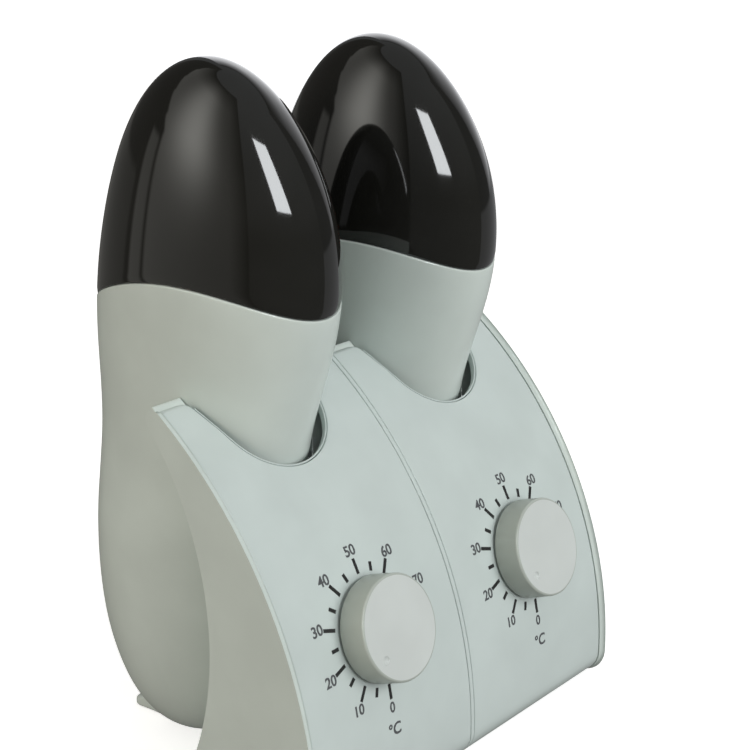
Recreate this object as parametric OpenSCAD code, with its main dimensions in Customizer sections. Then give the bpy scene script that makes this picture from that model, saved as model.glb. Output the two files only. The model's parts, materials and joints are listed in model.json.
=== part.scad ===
// Twin boot dryer: a crescent-shaped housing with two dials stands in front of two
// closed, heated pods that a pair of boots is pulled over. Each pod is a lower shell
// and a smoked cap, and it holds a heater that the thermostat behind its dial controls.
// Lengths are in millimetres, +Z is up, the dials face -Y and the origin is on the
// ground under the middle of the whole dryer.

/* [Housing] */
// Width of one half of the dryer, from the centre line to its outer side
module_w = 95; // [93:0.5:98]
// Distance from the origin forward to the foremost line of the front panels
front_y = 69.1; // [69.1:0.1:69.1]
// Radius of the curved front
front_r = 171.8; // [168:0.1:176]
// Height at which the curved front stands upright
front_z = 13.8; // [13:0.1:15]
// Height of the top edge of the front
top_z = 153.9; // [152:0.1:155]
// Radius of the hollow back
rear_r = 124; // [122:0.1:125]
// Depth of the centre of the hollow back behind the foremost line
rear_y = 171.5; // [171:0.1:173]
// Height of the centre of the hollow back
rear_z = 71.3; // [70:0.1:73]
// Radius of the rounded lower front edge
toe_r = 11; // [9:0.1:12]
// Wall thickness of the mouldings
wall = 2.5; // [2.3:0.1:2.6]
// Thickness of the side walls, seen as a rim beside the panels
rim = 3; // [2.8:0.1:3.2]
// Height of the housing's underside above the ground
foot_h = 1; // [1:0.1:1.5]

/* [Pod notches] */
// Radius of the round bottom of each notch
notch_r = 26.4; // [26.4:0.1:27]
// Angle round the front arc to the centre of that round bottom
notch_lean = 50.8; // [50:0.1:51.5]
// Outward lean of the notch's straight sides
notch_flare = 18; // [15:1:20]
// Depth of the wall that lines the notch
notch_depth = 4; // [3.5:0.5:8]

/* [Pods] */
// Height of the pod's tip above the ground
pod_top = 274; // [270:1:278]
// Height of the pod's underside above the ground
pod_base = 1.5; // [1:0.1:2]
// Wall thickness of the pod's shells
pod_wall = 2; // [1.8:0.1:2.2]
// Half depth of the lower bulge, the waist and the upper bulge
lower_depth = 45.7; // [45:0.1:46]
waist_depth = 47.3; // [47:0.1:47.5]
upper_depth = 54.8; // [54:0.1:55.5]
// Half width of the lower bulge, the waist and the upper bulge
lower_width = 34.2; // [34:0.1:34.5]
waist_width = 30.3; // [30:0.1:30.4]
upper_width = 32.6; // [32:0.1:33.5]
// Heights of the lower bulge, the waist and the upper bulge
lower_z = 89.5; // [89:0.5:91]
waist_z = 123; // [122:1:124]
upper_z = 186.5; // [185:0.5:188]
// Depth of the pod's centre behind the foremost line, low down and high up
pod_low_y = 100.6; // [100.6:0.1:101]
pod_high_y = 83.5; // [83.5:0.1:84]
// How much further back the pod's tip leans
tip_back = 4.2; // [3.5:0.1:5]
// Mean height of the seam between shell and cap
seam_z = 188.5; // [187:0.5:190]
// Rise of that seam at the sides, and its drop at front and back
seam_rise = 7.5; // [6:0.1:9]
// How much higher the seam is at the front than at the sides' mean, and lower at the back
seam_tilt = 4.6; // [3:0.1:5]

/* [Dials] */
// Angle round the front arc to the centre of each dial
dial_lean = 19.87; // [19:0.01:21]
// Radius of the knob
knob_r = 20; // [19:0.1:20.5]
// Height of the knob's face above the panel
knob_h = 12.2; // [11.5:0.1:13]
// Inner radius of the dial's tick marks
tick_in = 21.3; // [21.3:0.1:22]
// Outer radius of the long and of the short tick marks
tick_long = 27.2; // [26:0.1:28]
tick_short = 24.8; // [24:0.1:25.5]
// Width of a tick mark
tick_w = 1.2; // [1:0.1:1.5]
// Radius of the thermostat's spindle
spindle_r = 3; // [3:0.1:3]

/* [Hidden] */

$fn = 96;
left = -1;
right = 1;
gap = 0.2;                        // between mouldings that fit together
hair = 0.05;                      // between a screw or shaft and its hole
pod_x = module_w / 2;             // each pod and dial is centred on its half
lip_y = 20;                       // where the panels end under the housing
ledge_t = 3;                      // thickness of the ledges behind the panels
ledge_w = 6;                      // and their width
rib = 1;                          // half width of the rib between the panels
inner_x = module_w - rim;         // inside of the side walls
neck_z = 62;                      // height of the neck between housing and pod
neck_r = 13;
neck_bore = 8;
heater_y = 95;                    // depth of the heater behind the foremost line
bracket_z = 46;
gland_z = 24;
gland_r = 7;
gland_seat = 64;                  // flat rear face of the gland's boss
cord_r = 3.6;                     // bore for a 7 mm mains lead
boss_x = 84;                      // screw bosses in the housing's lower corners
boss_y = [28, 56];
screw_leans = [12, 36];           // panel screws, as angles round the front arc
panel_gap = wall + 0.9;           // from the outer surface to a flat thermostat
pods_around = 40;                 // facets round a pod

shell_grey = [0.66, 0.67, 0.63];
panel_grey = [0.75, 0.79, 0.77];
smoke = [0.12, 0.12, 0.12];
steel = [0.72, 0.73, 0.75];

// ---------- frames and outlines ----------

// Moves a piece from the foremost line of the panels to the origin
module placed() { translate([0, -front_y, 0]) children(); }

// Extrudes an outline drawn in Y and Z between two places along X
module across(x0, x1) {
    translate([x0, 0, 0]) rotate([90, 0, 90]) linear_extrude(x1 - x0) children();
}

// Puts a piece on the front: its +Z points out of the panel and its +Y up the curve
module on_front(x, lean) {
    translate([x, front_r * (1 - cos(lean)), front_z + front_r * sin(lean)])
        rotate([90 - lean, 0, 0]) children();
}

// Lays a piece that was drawn along +Z towards the back
module backward(x, y, z) { translate([x, y, z]) rotate([-90, 0, 0]) children(); }

module tube(r_out, r_in, h) {
    difference() {
        cylinder(r = r_out, h = h);
        translate([0, 0, -1]) cylinder(r = r_in, h = h + 2);
    }
}

// Points along an arc round the origin
function arc_points(r, from, to) =
    [for (i = [0:32]) let (a = from + (to - from) * i / 32) r * [cos(a), sin(a)]];

// Everything behind the front curve, set back by inset
module behind_front(inset) {
    r = toe_r - inset;
    floor_z = foot_h + inset;
    toe_z = foot_h + toe_r;
    intersection() {
        translate([front_r, front_z]) circle(front_r - inset, $fn = 240);
        translate([0, front_z]) square([120, top_z - front_z]);
    }
    translate([inset, toe_z]) square([120, front_z - toe_z]);
    translate([toe_r, floor_z]) square([109, toe_z - floor_z]);
    translate([toe_r, toe_z]) circle(r);
}

module rear_disc(grow) { translate([rear_y, rear_z]) circle(rear_r + grow, $fn = 240); }

module crescent() {
    difference() {
        behind_front(0);
        rear_disc(0);
    }
}

// The strip between two depths behind the front, down to the lip under the housing
module front_band(from, to) {
    intersection() {
        difference() {
            behind_front(from);
            behind_front(to);
        }
        union() {
            square([lip_y, top_z]);
            translate([0, front_z]) square([120, top_z]);
        }
    }
}

// The notch, drawn on the flat round the centre of its round bottom
module notch_outline(grow) {
    r = notch_r + grow;
    rise = 60;
    reach = r * cos(notch_flare) + rise * tan(notch_flare);
    top = rise - r * sin(notch_flare);
    polygon(concat(arc_points(r, 180 + notch_flare, 360 - notch_flare), [[reach, top], [-reach, top]]));
}

module notch_cut(side, grow, depth) {
    on_front(side * pod_x, notch_lean)
        translate([0, 0, -depth]) linear_extrude(depth + 20) notch_outline(grow);
}

// The opening in the hollow back, level through the wall, which follows the pod closely
module pod_opening(side) {
    low = 104.5;
    high = 160;
    steps = 24;
    half = [for (i = [0:steps]) let (rise = (high - low) * pow(i / steps, 2)) [sqrt(22 * rise), low + rise]];
    backward(side * pod_x, 40, 0) linear_extrude(60) polygon(concat(
        [for (p = half) [p[0], -p[1]]],
        [for (i = [steps:-1:1]) [-half[i][0], -half[i][1]]]));
}

// ---------- the pod's form ----------

// Slides smoothly from v1 at z1 to v2 at z2
function ease(z, z1, v1, z2, v2) =
    z <= z1 ? v1 : z >= z2 ? v2 : v1 + (v2 - v1) * (1 - cos(180 * (z - z1) / (z2 - z1))) / 2;

function bulge(z, low, waist, high) =
    z < waist_z ? ease(z, lower_z, low, waist_z, waist) : ease(z, waist_z, waist, upper_z, high);

// Closes the section towards the tip and the underside
function closing(z, inset) =
    z > upper_z ? sqrt(max(0, 1 - pow((z - upper_z) / (pod_top - inset - upper_z), 1.94))) :
    z < lower_z ? sqrt(max(0, 1 - pow((lower_z - z) / (lower_z - pod_base - inset), 2.87))) : 1;

// The centres of the underside and of the tip lie a little further back
function pod_y(z) = ease(z, 72, pod_low_y, 239, pod_high_y)
    + 5 * pow(max(0, 1 - z / 40), 2) + tip_back * pow(max(0, (z - 170) / (pod_top - 170)), 2);

function pod_point(z, turn, inset) = [
    (bulge(z, lower_width, waist_width, upper_width) - inset) * closing(z, inset) * sin(turn),
    pod_y(z) - (bulge(z, lower_depth, waist_depth, upper_depth) - inset) * closing(z, inset) * cos(turn),
    z
];

function seam(turn) = seam_z - seam_rise * cos(2 * turn) + seam_tilt * cos(turn);

// One closed end of the pod, from its pole at z_pole to the seam
function end_points(z_pole, rows, inset) = concat(
    [[0, pod_y(z_pole), z_pole]],
    [for (i = [1:rows]) for (j = [0:pods_around - 1])
        let (turn = 360 * j / pods_around, part = 1 - cos(90 * i / rows))
        pod_point(z_pole + (seam(turn) - z_pole) * part, turn, inset)]);

function ring_at(i, j) = 1 + (i - 1) * pods_around + j % pods_around;

function end_faces(rows, start, turned) = [
    for (j = [0:pods_around - 1])
        let (f = [0, ring_at(1, j), ring_at(1, j + 1)])
        turned ? [start + f[0], start + f[2], start + f[1]] : [start + f[0], start + f[1], start + f[2]],
    for (i = [1:rows - 1]) for (j = [0:pods_around - 1])
        let (a = start + ring_at(i, j), b = start + ring_at(i + 1, j),
             c = start + ring_at(i + 1, j + 1), d = start + ring_at(i, j + 1))
        each (turned ? [[a, d, c], [a, c, b]] : [[a, b, c], [a, c, d]])
];

function rim_faces(rows, start, turned) = [
    for (j = [0:pods_around - 1])
        let (a = ring_at(rows, j), d = ring_at(rows, j + 1), b = start + a, c = start + d)
        each (turned ? [[a, d, c], [a, c, b]] : [[a, b, c], [a, c, d]])
];

// A hollow pod end; the cap's pole is at the top, so its faces turn the other way
module pod_end(side, rows, z_outer, z_inner) {
    cap = z_outer > seam_z;
    start = 1 + rows * pods_around;
    translate([side * pod_x, 0, 0]) polyhedron(
        points = concat(end_points(z_outer, rows, 0), end_points(z_inner, rows, pod_wall)),
        faces = concat(end_faces(rows, 0, cap), end_faces(rows, start, !cap),
                       rim_faces(rows, start, cap)));
}

// The lower pod as one solid, a little larger than it is, for cutting what meets it
module pod_solid(side) {
    rows = 20;
    grow = 0.15;
    high = 120;
    base = pod_base - grow;
    levels = [for (i = [1:rows - 1]) base + (high - base) * (1 - cos(90 * i / rows))];
    points = concat([[0, pod_y(base), base]],
        [for (z = levels) for (j = [0:pods_around - 1]) pod_point(z, 360 * j / pods_around, -grow)],
        [[0, pod_y(levels[rows - 2]), levels[rows - 2]]]);
    last = len(points) - 1;
    faces = concat(end_faces(rows - 1, 0, false),
        [for (j = [0:pods_around - 1]) [last, ring_at(rows - 1, j + 1), ring_at(rows - 1, j)]]);
    translate([side * pod_x, 0, 0]) polyhedron(points = points, faces = faces);
}

// ---------- leads ----------

function unit(v) = v / norm(v);

// A point on the smooth curve through four points, between the middle two
function spline(a, b, c, d, t) =
    (2 * b + (c - a) * t + (2 * a - 5 * b + 4 * c - d) * t * t + (3 * b - a - 3 * c + d) * t * t * t) / 2;

function smooth(route) = let (n = len(route) - 1) concat(
    [for (i = [0:n - 1]) for (t = [0:0.25:0.75])
        spline(route[max(i - 1, 0)], route[i], route[i + 1], route[min(i + 2, n)], t)],
    [route[n]]);

module lead(route, r) {
    sides = 8;
    path = smooth(route);
    n = len(path) - 1;
    reference = unit([0.93, 0.21, 0.3]);
    points = [for (i = [0:n])
        let (t = unit(path[min(i + 1, n)] - path[max(i - 1, 0)]),
             u = unit(cross(reference, t)), v = cross(t, u))
        for (j = [0:sides - 1])
            path[i] + r * (cos(360 * j / sides) * u + sin(360 * j / sides) * v)];
    faces = concat(
        [[for (j = [0:sides - 1]) j]],
        [for (i = [0:n - 1]) for (j = [0:sides - 1])
            let (a = i * sides + j, b = i * sides + (j + 1) % sides)
            each [[a, a + sides, b], [b, a + sides, b + sides]]],
        [[for (j = [sides - 1:-1:0]) n * sides + j]]);
    polyhedron(points = points, faces = faces);
}

// ---------- housing ----------

module side_wall(side) {
    x0 = side == left ? -module_w : inner_x;
    across(x0, x0 + rim) crescent();
}

module panel_ledges() {
    for (x0 = [-inner_x, inner_x - ledge_w])
        across(x0, x0 + ledge_w) front_band(wall + gap, wall + ledge_t);
    across(-rib - ledge_w, rib + ledge_w) front_band(wall + gap, wall + ledge_t);
    across(-rib, rib) front_band(0, wall + ledge_t);
}

// The hollow rear wall, and the bar that ties it to the ledges behind the panels' top edges
module hollow_back() {
    bar_h = 7;
    across(-inner_x, inner_x) difference() {
        intersection() {
            crescent();
            union() {
                rear_disc(wall);
                translate([0, top_z - bar_h]) square([120, bar_h]);
            }
        }
        front_band(-1, wall + gap);
    }
}

module toe_beam() { translate([-inner_x, 12, 4.5]) cube([2 * inner_x, 4, 6]); }

module screw_boss(side, y) {
    h = 12;
    translate([side * boss_x, y, 3.7]) {
        cylinder(r = 4, h = h);
        translate([side == left ? -8.5 : 0, -1.25, 0]) cube([8.5, 2.5, h]);
    }
}

module screw_holes(r) {
    for (side = [left, right], y = boss_y)
        translate([side * boss_x, y, 0]) cylinder(r = r, h = 14);
}

module panel_screw_holes(side) {
    for (x = [side * 4, side * (inner_x - 3)], lean = screw_leans)
        on_front(x, lean) translate([0, 0, -1.1 - 5]) cylinder(r = 1.2 + hair, h = 5);
}

module housing_shell() {
    color(shell_grey) placed() difference() {
        union() {
            side_wall(left);
            side_wall(right);
            difference() {
                union() {
                    hollow_back();
                    panel_ledges();
                }
                for (side = [left, right]) {
                    notch_cut(side, 2 + gap, notch_depth + gap);
                    pod_opening(side);
                }
            }
            toe_beam();
            for (side = [left, right], y = boss_y) screw_boss(side, y);
            backward(0, 50, gland_z) cylinder(r = 11, h = gland_seat - 50);
        }
        screw_holes(1.4 + hair);
        for (side = [left, right]) {
            panel_screw_holes(side);
            backward(side * pod_x, 40, neck_z) cylinder(r = neck_r + hair, h = 30);
        }
        backward(0, 40, gland_z) cylinder(r = gland_r + hair, h = 40);
    }
}

module base_plate() {
    color(shell_grey) placed() difference() {
        translate([-inner_x + gap, lip_y + gap, foot_h]) cube([2 * (inner_x - gap), 44.2, wall]);
        screw_holes(1.8);
        for (side = [left, right], y = boss_y)
            translate([side * boss_x, y, 0]) cylinder(r = 3.2, h = foot_h + 1.2);
        foot_studs(2 + hair);
    }
}

module base_screws() {
    color(steel) placed() for (side = [left, right], y = boss_y)
        translate([side * boss_x, y, foot_h + 0.1]) {
            cylinder(r = 2.9, h = 1);
            cylinder(r = 1.4, h = 11);
        }
}

module foot_studs(r) {
    for (x = [-66, 66], y = [29, 57]) translate([x, y, 0]) cylinder(r = r, h = foot_h + wall);
}

module rubber_feet() {
    color([0.2, 0.2, 0.2]) placed() {
        foot_studs(2);
        for (x = [-66, 66], y = [29, 57]) translate([x, y, 0]) cylinder(r = 6, h = foot_h);
    }
}

// ---------- front panels and dials ----------

module front_panel(side) {
    x0 = rib + gap;
    x1 = inner_x - gap;
    color(panel_grey) placed() difference() {
        union() {
            across(side == left ? -x1 : x0, side == left ? -x0 : x1) front_band(0, wall);
            intersection() {
                on_front(side * pod_x, notch_lean)
                    translate([0, 0, -notch_depth]) linear_extrude(notch_depth + 5) notch_outline(2);
                across(side == left ? -x1 : x0, side == left ? -x0 : x1) intersection() {
                    behind_front(0);
                    translate([0, front_z]) square([75, top_z]);
                }
            }
        }
        notch_cut(side, 0, 60);
        on_front(side * pod_x, dial_lean) translate([0, 0, -5]) cylinder(r = 5.1, h = 10);
        panel_screw_holes(side);
    }
}

module panel_screws(side) {
    head_z = -wall - ledge_t;
    color(steel) placed() for (x = [side * 4, side * (inner_x - 3)], lean = screw_leans)
        on_front(x, lean) {
            translate([0, 0, head_z - 1.7]) cylinder(r = 2.4, h = 1.6);
            translate([0, 0, head_z - 0.2]) cylinder(r = 1.2, h = -head_z - 1);
        }
}

// Printed marks every 5 degrees C, straight down at 0 and clockwise to 80
module dial_marks(side) {
    print_t = 0.12;
    reach = 40;
    color([0.1, 0.1, 0.1]) placed() intersection() {
        on_front(side * pod_x, dial_lean) for (degrees_c = [0:5:80]) {
            outer = degrees_c % 10 == 0 ? tick_long : tick_short;
            rotate([0, 0, -3.6 * degrees_c])
                translate([-tick_w / 2, -outer, -5]) cube([tick_w, outer - tick_in, 10]);
        }
        across(side * pod_x - reach, side * pod_x + reach) difference() {
            translate([front_r, front_z]) circle(front_r + print_t, $fn = 240);
            translate([front_r, front_z]) circle(front_r, $fn = 240);
        }
    }
}

module knob(side) {
    edge = 0.8;
    base = 0.9;
    hub_z = 4;
    roof = knob_h - 2;
    color([0.78, 0.78, 0.76]) placed() on_front(side * pod_x, dial_lean) difference() {
        union() {
            rotate_extrude() {
                translate([knob_r - 2, base]) square([2, knob_h - edge - base]);
                translate([0, roof]) square([knob_r - edge, 2]);
                translate([knob_r - edge, knob_h - edge]) circle(edge);
            }
            translate([0, 0, hub_z]) cylinder(r = 6, h = roof - hub_z + 1);
        }
        translate([0, 0, hub_z - 1]) cylinder(r = spindle_r + 0.02, h = 6.5);
        rotate([0, 0, -54]) translate([0, -knob_r * 0.72, knob_h - 0.5]) cylinder(r = 1.7, h = 1);
    }
}

module spindle(side) {
    color(steel) placed() on_front(side * pod_x, dial_lean)
        translate([0, 0, -11.5]) cylinder(r = spindle_r, h = 20.8);
}

module hub_ring(side) {
    color(steel) placed() on_front(side * pod_x, dial_lean)
        translate([0, 0, 5]) tube(6.8, 6 + hair, 4);
}

module thermostat(side) {
    color([0.85, 0.83, 0.76]) placed() on_front(side * pod_x, dial_lean) difference() {
        union() {
            translate([-15, -15, -panel_gap - 16]) cube([30, 30, 16]);
            translate([0, 0, -panel_gap]) cylinder(r = 5, h = panel_gap + 3.4);
        }
        translate([0, 0, -12]) cylinder(r = spindle_r + hair, h = 20);
    }
}

module thermostat_nut(side) {
    color(steel) placed() on_front(side * pod_x, dial_lean)
        translate([0, 0, 0.1]) difference() {
            cylinder(r = 8, h = 2.6, $fn = 6);
            translate([0, 0, -1]) cylinder(r = 5 + hair, h = 5);
        }
}

// ---------- pods ----------

module pod_shell(side) {
    color(shell_grey) placed() difference() {
        union() {
            pod_end(side, 22, pod_base, pod_base + pod_wall);
            translate([side * pod_x, heater_y, 6]) cylinder(r = 6, h = bracket_z - 6, $fn = 32);
        }
        backward(side * pod_x, 48, neck_z) cylinder(r = neck_r + hair, h = 20, $fn = 48);
        translate([side * pod_x, heater_y, bracket_z - 12]) cylinder(r = 1.5 + hair, h = 20, $fn = 24);
    }
}

module pod_cap(side) { color(smoke) placed() pod_end(side, 16, pod_top, pod_top - pod_wall); }

// Bridges the seam from inside, bonded in the shell and snapped into the cap
module cap_ring(side) {
    half_h = 4;
    thick = 1.5;
    points = [for (corner = [[-half_h, 0], [half_h, 0], [half_h, thick], [-half_h, thick]])
        for (j = [0:pods_around - 1])
            let (turn = 360 * j / pods_around, z = seam(turn))
            [0, 0, corner[0]] + pod_point(z, turn, pod_wall + 0.75 + corner[1])];
    faces = [for (k = [0:3]) for (j = [0:pods_around - 1])
        let (next = (j + 1) % pods_around, low = k * pods_around, high = ((k + 1) % 4) * pods_around)
        each [[low + j, high + j, low + next], [low + next, high + j, high + next]]];
    color(shell_grey) placed() translate([side * pod_x, 0, 0]) polyhedron(points = points, faces = faces);
}

// Low tongue that points backwards from under the pod and stands on the ground
module pod_foot(side) {
    color(shell_grey) placed() difference() {
        intersection() {
            translate([side * pod_x, 0, 0]) linear_extrude(12) hull() {
                for (x = [-1.2, 1.2]) translate([x, 133.6]) circle(4.7);
                translate([-5.9, 116]) square([11.8, 4]);
            }
            across(side * pod_x - 9, side * pod_x + 9) hull() {
                translate([116, 0]) square([20.7, 4]);
                translate([136.7, 1.6]) circle(1.6, $fn = 24);
                translate([116, 4]) square([11, 4.6]);
            }
        }
        pod_solid(side);
    }
}

// Hollow threaded neck that joins the pod to the hollow back and carries its leads
module pod_neck(side) {
    color(shell_grey) placed() backward(side * pod_x, 0, neck_z) difference() {
        union() {
            translate([0, 0, 42.3]) cylinder(r = neck_r, h = 27.7);
            translate([0, 0, 42.3]) cylinder(r = 17, h = 2.5);
            translate([0, 0, 50.4]) cylinder(r = 16, h = 4.1);
        }
        translate([0, 0, 40]) cylinder(r = neck_bore, h = 40);
    }
}

module neck_nut(side) {
    color(shell_grey) placed() backward(side * pod_x, 64.6, neck_z) tube(16, neck_r + hair, 4);
}

module heater_bracket(side) {
    color(steel) placed() translate([side * pod_x, heater_y, bracket_z]) difference() {
        union() {
            cylinder(r = 21.5, h = 2);
            cylinder(r = 9, h = 10);
        }
        translate([0, 0, 2]) cylinder(r = 7 + hair, h = 10);
        translate([0, 0, -1]) cylinder(r = 1.8, h = 4);
    }
}

module bracket_screw(side) {
    color(steel) placed() translate([side * pod_x, heater_y, bracket_z]) {
        translate([0, 0, -10]) cylinder(r = 1.5, h = 12.1);
        translate([0, 0, 2.1]) cylinder(r = 3.5, h = 2.4);
    }
}

module heater_core(side) {
    color([0.93, 0.92, 0.88]) placed() translate([side * pod_x, heater_y, bracket_z + 5])
        tube(7, 3, 105);
}

// Resistance wire close-wound on the core, one rounded turn per pitch
module heater_winding(side) {
    pitch = 4;
    turns = 22;
    color([0.55, 0.5, 0.45]) placed() translate([side * pod_x, heater_y, bracket_z + 12])
        for (i = [0:turns - 1]) translate([0, 0, pitch * i])
            rotate_extrude($fn = 48) translate([8.1, 0]) circle(1, $fn = 16);
}

module heat_shield(side) {
    color([0.8, 0.81, 0.82]) placed() difference() {
        translate([side * pod_x, heater_y, bracket_z + 2.1]) tube(21, 20.2, 116);
        backward(side * pod_x, heater_y - 30, bracket_z + 8) cylinder(r = 4, h = 30);
    }
}

module thermal_fuse(side) {
    color([0.85, 0.85, 0.8]) placed() translate([side * (pod_x + 14), heater_y, bracket_z + 2.1]) {
        cylinder(r = 2.2, h = 12);
        translate([0, 0, 12]) cylinder(r = 0.5, h = 5);
    }
}

// ---------- electrical parts in the housing ----------

function sided(route, side) = [for (p = route) [side * pod_x + p[0], p[1], p[2]]];

module supply_lead(side) {
    color([0.45, 0.25, 0.15]) placed()
        lead([[side * 8, 34, 15.7], [side * 14, 32, 27], [side * 30, 31, 42], [side * 42, 31, 48],
              [side * 47, 27.5, 55.4]], 1.6);
}

module heater_lead(side) {
    color([0.2, 0.25, 0.5]) placed()
        lead(sided([[5, 30.6, 61.6], [4, 40, 61.5], [3, 56, 62], [3, 67, 61], [2, 71.5, 56],
                    [1, 77, 54], [0, 85.6, 54]], side), 1.6);
}

module sensor(side) {
    color([0.7, 0.45, 0.3]) placed() {
        lead(sided([[-6, 31, 66], [-4, 40, 60], [-3, 56, 60], [-3, 68, 60], [-3, 71.8, 66],
                    [-2, 71, 76], [0, 66.5, 83], [0, 66, 88]], side), 0.8);
        translate([side * pod_x, 66, 86]) cylinder(r = 2.5, h = 25);
    }
}

module terminal_block() {
    color([0.9, 0.9, 0.86]) placed() difference() {
        translate([-18, 28, foot_h + wall + 0.1]) cube([36, 12, 11.4]);
        for (x = [-13.5:9:13.5]) translate([x, 31.5, 10]) cylinder(r = 2, h = 8);
    }
}

module cord_gland() {
    color([0.15, 0.15, 0.15]) placed() backward(0, 0, gland_z) difference() {
        union() {
            translate([0, 0, 44]) cylinder(r = gland_r, h = gland_seat + 3 - 44);
            translate([0, 0, gland_seat + 0.1]) cylinder(r = 9.5, h = 2.9);
        }
        translate([0, 0, 40]) cylinder(r = cord_r, h = 40);
    }
}

module gland_nut() {
    color([0.15, 0.15, 0.15]) placed() backward(0, 45, gland_z) difference() {
        cylinder(r = 10.5, h = 4.9, $fn = 6);
        translate([0, 0, -1]) cylinder(r = gland_r + hair, h = 8);
    }
}

housing_shell();
base_plate();
base_screws();
rubber_feet();
front_panel(left);  // front_panel_left
front_panel(right);  // front_panel_right
panel_screws(left);  // panel_screws_left
panel_screws(right);  // panel_screws_right
dial_marks(left);  // dial_marks_left
dial_marks(right);  // dial_marks_right
pod_shell(left);  // pod_shell_left
pod_shell(right);  // pod_shell_right
pod_cap(left);  // pod_cap_left
pod_cap(right);  // pod_cap_right
cap_ring(left);  // cap_ring_left
cap_ring(right);  // cap_ring_right
pod_foot(left);  // pod_foot_left
pod_foot(right);  // pod_foot_right
pod_neck(left);  // pod_neck_left
pod_neck(right);  // pod_neck_right
neck_nut(left);  // neck_nut_left
neck_nut(right);  // neck_nut_right
heater_bracket(left);  // heater_bracket_left
heater_bracket(right);  // heater_bracket_right
bracket_screw(left);  // bracket_screw_left
bracket_screw(right);  // bracket_screw_right
heater_core(left);  // heater_core_left
heater_core(right);  // heater_core_right
heater_winding(left);  // heater_winding_left
heater_winding(right);  // heater_winding_right
heat_shield(left);  // heat_shield_left
heat_shield(right);  // heat_shield_right
thermal_fuse(left);  // thermal_fuse_left
thermal_fuse(right);  // thermal_fuse_right
thermostat(left);  // thermostat_left
thermostat(right);  // thermostat_right
thermostat_nut(left);  // thermostat_nut_left
thermostat_nut(right);  // thermostat_nut_right
spindle(left);  // spindle_left
spindle(right);  // spindle_right
knob(left);  // knob_left
knob(right);  // knob_right
hub_ring(left);  // hub_ring_left
hub_ring(right);  // hub_ring_right
sensor(left);  // sensor_left
sensor(right);  // sensor_right
supply_lead(left);  // supply_lead_left
supply_lead(right);  // supply_lead_right
heater_lead(left);  // heater_lead_left
heater_lead(right);  // heater_lead_right
terminal_block();
cord_gland();
gland_nut();
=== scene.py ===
"""Looks of the twin boot dryer: its pieces, materials, studio and camera.

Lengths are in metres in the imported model's frame: +Z up, dials facing -Y, origin on the ground.
"""

import json
import math

import bmesh
import bpy
import numpy as np
from mathutils import Matrix, Vector
from mathutils.geometry import delaunay_2d_cdt


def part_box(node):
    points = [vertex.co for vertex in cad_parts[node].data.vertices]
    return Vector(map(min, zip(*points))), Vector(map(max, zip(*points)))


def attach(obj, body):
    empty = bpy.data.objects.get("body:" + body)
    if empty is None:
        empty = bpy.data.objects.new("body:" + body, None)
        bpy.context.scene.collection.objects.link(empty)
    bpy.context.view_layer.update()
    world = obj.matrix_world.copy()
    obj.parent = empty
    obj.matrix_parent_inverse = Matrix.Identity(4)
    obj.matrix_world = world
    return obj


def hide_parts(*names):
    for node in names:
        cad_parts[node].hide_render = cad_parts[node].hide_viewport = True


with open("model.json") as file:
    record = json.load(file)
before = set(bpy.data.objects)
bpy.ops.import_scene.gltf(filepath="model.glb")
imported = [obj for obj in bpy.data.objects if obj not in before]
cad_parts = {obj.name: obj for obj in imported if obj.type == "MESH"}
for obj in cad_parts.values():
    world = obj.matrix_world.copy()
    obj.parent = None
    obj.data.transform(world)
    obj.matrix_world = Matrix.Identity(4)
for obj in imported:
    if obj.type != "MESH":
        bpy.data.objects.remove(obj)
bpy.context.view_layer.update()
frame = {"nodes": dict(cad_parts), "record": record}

MM = 0.001
SIDES = {"left": -1, "right": 1}

# ---------- the housing's form ----------
HOUSING_LOW, HOUSING_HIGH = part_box("housing_shell")
HALF_W = HOUSING_HIGH.x
FRONT_Y = HOUSING_LOW.y          # foremost line of the front
FOOT_Z = HOUSING_LOW.z           # underside of the mouldings
TOP_Z = HOUSING_HIGH.z           # top edge of the front
POD_X = HALF_W / 2               # each pod and dial is centred on its half
FRONT_R = 171.8 * MM             # radius of the curved front
FRONT_Z = 13.8 * MM              # where the curved front stands upright
REAR_R = 124 * MM                # radius of the hollow back
REAR_Y = FRONT_Y + 171.5 * MM
REAR_Z = 71.3 * MM
TOE_R = 11 * MM                  # rounded lower front edge
LIP = 20 * MM                    # how far the panels run under the housing
WALL = 2.5 * MM
RIM = 3 * MM                     # side walls, seen beside the panels
RIB = 1 * MM                     # half width of the rib between the panels
GROOVE = 0.25 * MM               # between a panel and what frames it

# ---------- notches and dials ----------
NOTCH_R = 26.4 * MM
NOTCH_LEAN = math.radians(50.8)  # where the notch's round bottom is centred
NOTCH_FLARE = math.radians(18)   # how far each side of a notch leans outwards
NOTCH_DEPTH = 4 * MM             # of the lining, from the front inwards
LIP_W = 0.95 * MM                # lip of the notch's lining, inside the panel's edge
TAB_R = 3.5 * MM                 # rounded corners beside each notch
TIP_R = 2.4 * MM                 # rounded rear edge of the top
DIAL_LEAN = math.radians(19.87)  # where the dial is centred on the curve
KNOB_R = 20 * MM
KNOB_H = 12.2 * MM
TICK_IN = 21.3 * MM              # inner end of every tick, from the dial's centre
TICK_LONG = 27.2 * MM            # outer end of a tick at a ten
TICK_SHORT = 24.8 * MM           # outer end of a tick at a five
TICK_W = 1.4 * MM
NUMERAL_SIZE = 5.7 * MM
NUMERAL_R = 30.4 * MM
UNIT_SIZE = 6.6 * MM
UNIT_DOWN = 39 * MM              # the unit stands this far below the dial's centre
DEGREES_PER_C = 3.6              # 0 is straight down and the scale runs clockwise
SETTING_C = 15                   # what both knobs point at

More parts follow.
